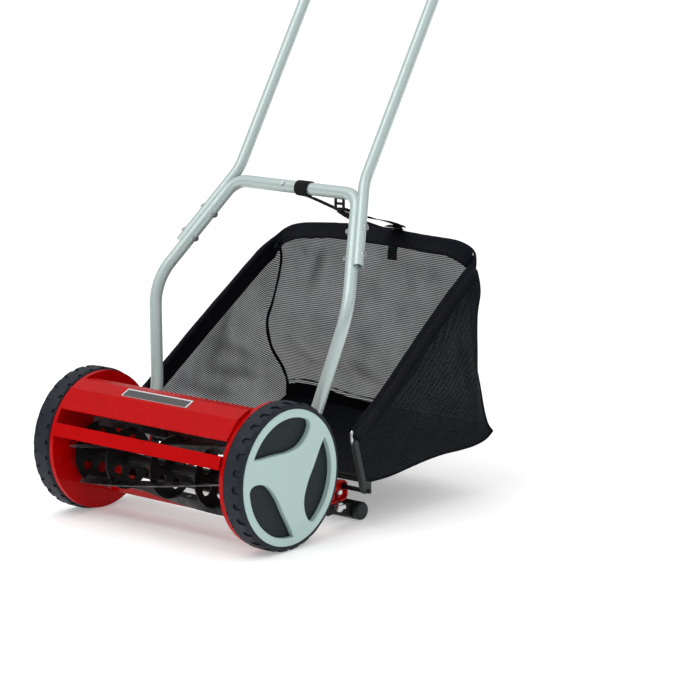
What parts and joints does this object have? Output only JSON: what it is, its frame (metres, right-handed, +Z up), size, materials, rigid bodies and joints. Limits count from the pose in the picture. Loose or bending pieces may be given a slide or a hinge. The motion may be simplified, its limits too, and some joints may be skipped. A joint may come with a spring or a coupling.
{
  "type": "reel mower",
  "caption": "Hand-pushed reel mower with spoked side wheels, geared helical blade reel, bed knife, rear roller, tubular push handle and a framed mesh grass bag.",
  "frame": {"origin": "on the floor, under the middle of the whole mower's bounding box", "axes": "+X across the mower, to the left-hand side of someone pushing it; +Y to the rear, where the handle and bag are; +Z up"},
  "size_m": [0.52, 0.6984, 1.0075],
  "materials": {
    "red_paint": "gloss red paint",
    "label": "black plate with a silver border",
    "tube_paint": "satin light grey-green paint",
    "hub_plastic": "semi-gloss light grey-green",
    "wheel_plastic": "matt moulded black",
    "tyre": "matt moulded rubber",
    "black_plastic": "matt",
    "grey_plastic": "matt dark grey",
    "black_steel": "black enamel",
    "zinc_steel": "zinc plated",
    "blade_steel": "hardened steel, dark with ground edges",
    "reel_paint": "dark enamel",
    "gear_steel": "machined, oiled",
    "bush_bronze": "sintered bronze",
    "mesh_fabric": "woven open mesh",
    "solid_fabric": "black woven polyester",
    "binding_fabric": "black padded sleeve",
    "webbing": "black webbing",
    "grip_foam": "black foam"
  },
  "bodies": {
    "chassis": {"side_plate_left": "red_paint", "side_plate_right": "red_paint", "deck_cover": "red_paint", "front_bar": "red_paint", "label_plate": "label", "tie_bar": "black_steel", "knife_carrier": "red_paint", "bed_knife": "blade_steel", "knife_screws": "zinc_steel", "deck_screws": "zinc_steel", "reel_bearings": "gear_steel", "bearing_housings": "black_plastic", "axle_bolts": "zinc_steel", "axle_nuts": "zinc_steel", "axle_circlips": "zinc_steel", "height_guides": "black_plastic", "bag_rod": "black_steel", "lower_handle_left": "tube_paint", "lower_handle_right": "tube_paint", "upper_handle": "tube_paint", "handle_grip": "grip_foam", "handle_bolts": "zinc_steel", "handle_nuts": "zinc_steel", "leg_bolts": "zinc_steel", "leg_nuts": "zinc_steel", "leg_plugs": "black_plastic", "crossbar_screw": "zinc_steel", "strap_loop": "webbing"},
    "wheel_left": {"tyre_left": "tyre", "wheel_left": "wheel_plastic", "hub_cap_left": "hub_plastic", "wheel_bush_left": "bush_bronze"},
    "wheel_right": {"tyre_right": "tyre", "wheel_right": "wheel_plastic", "hub_cap_right": "hub_plastic", "wheel_bush_right": "bush_bronze"},
    "reel": {"reel_shaft": "reel_paint", "reel_spiders": "reel_paint", "reel_blades": "blade_steel", "pawls": "gear_steel", "shaft_circlips": "zinc_steel"},
    "pinion_left": {"pinion_left": "gear_steel"},
    "pinion_right": {"pinion_right": "gear_steel"},
    "roller_frame": {"roller_brackets": "black_steel", "clamp_nuts": "zinc_steel"},
    "roller": {"roller": "grey_plastic", "roller_ends": "grey_plastic", "roller_axle": "zinc_steel"},
    "height_screw_left": {"height_screw_left": "zinc_steel"},
    "height_screw_right": {"height_screw_right": "zinc_steel"},
    "bag": {"bag_wire": "zinc_steel", "bag_binding": "binding_fabric", "bag_side_left": "mesh_fabric", "bag_side_right": "mesh_fabric", "bag_back": "mesh_fabric", "bag_floor": "solid_fabric", "bag_channels": "grey_plastic", "bag_front_rod": "black_steel", "bag_strap": "webbing", "strap_buckle": "black_plastic"}
  },
  "joints": [
    {"name": "wheel_left_spin", "type": "hinge", "parent": "chassis", "child": "wheel_left", "pos_m": [-0.223, -0.22425, 0.125], "axis": [1, 0, 0], "continuous": true},
    {"name": "wheel_right_spin", "type": "hinge", "parent": "chassis", "child": "wheel_right", "pos_m": [0.223, -0.22425, 0.125], "axis": [1, 0, 0], "continuous": true},
    {"name": "reel_spin", "type": "hinge", "parent": "chassis", "child": "reel", "pos_m": [0, -0.25391, 0.11053], "axis": [1, 0, 0], "continuous": true},
    {"name": "pinion_left_spin", "type": "hinge", "parent": "chassis", "child": "pinion_left", "pos_m": [-0.213, -0.25391, 0.11053], "axis": [1, 0, 0], "continuous": true},
    {"name": "pinion_right_spin", "type": "hinge", "parent": "chassis", "child": "pinion_right", "pos_m": [0.213, -0.25391, 0.11053], "axis": [1, 0, 0], "continuous": true},
    {"name": "roller_height", "type": "slide", "parent": "chassis", "child": "roller_frame", "axis": [0, 0, 1], "range_m": [0, 0.022]},
    {"name": "roller_spin", "type": "hinge", "parent": "roller_frame", "child": "roller", "pos_m": [0, 0.00875, 0.016], "axis": [1, 0, 0], "continuous": true},
    {"name": "height_screw_left_turn", "type": "hinge", "parent": "roller_frame", "child": "height_screw_left", "pos_m": [-0.2, -0.05625, 0.036], "axis": [1, 0, 0], "continuous": true},
    {"name": "height_screw_right_turn", "type": "hinge", "parent": "roller_frame", "child": "height_screw_right", "pos_m": [0.2, -0.05625, 0.036], "axis": [1, 0, 0], "continuous": true},
    {"name": "bag_lift", "type": "slide", "parent": "chassis", "child": "bag", "axis": [0, 0, 1], "range_m": [0, 0.06], "deforming": ["bag_strap"]}
  ],
  "couplings": [
    {"joint": "reel_spin", "follows": "wheel_right_spin", "ratio": 3.75},
    {"joint": "pinion_right_spin", "follows": "wheel_right_spin", "ratio": 3.75},
    {"joint": "pinion_left_spin", "follows": "wheel_left_spin", "ratio": 3.75}
  ]
}
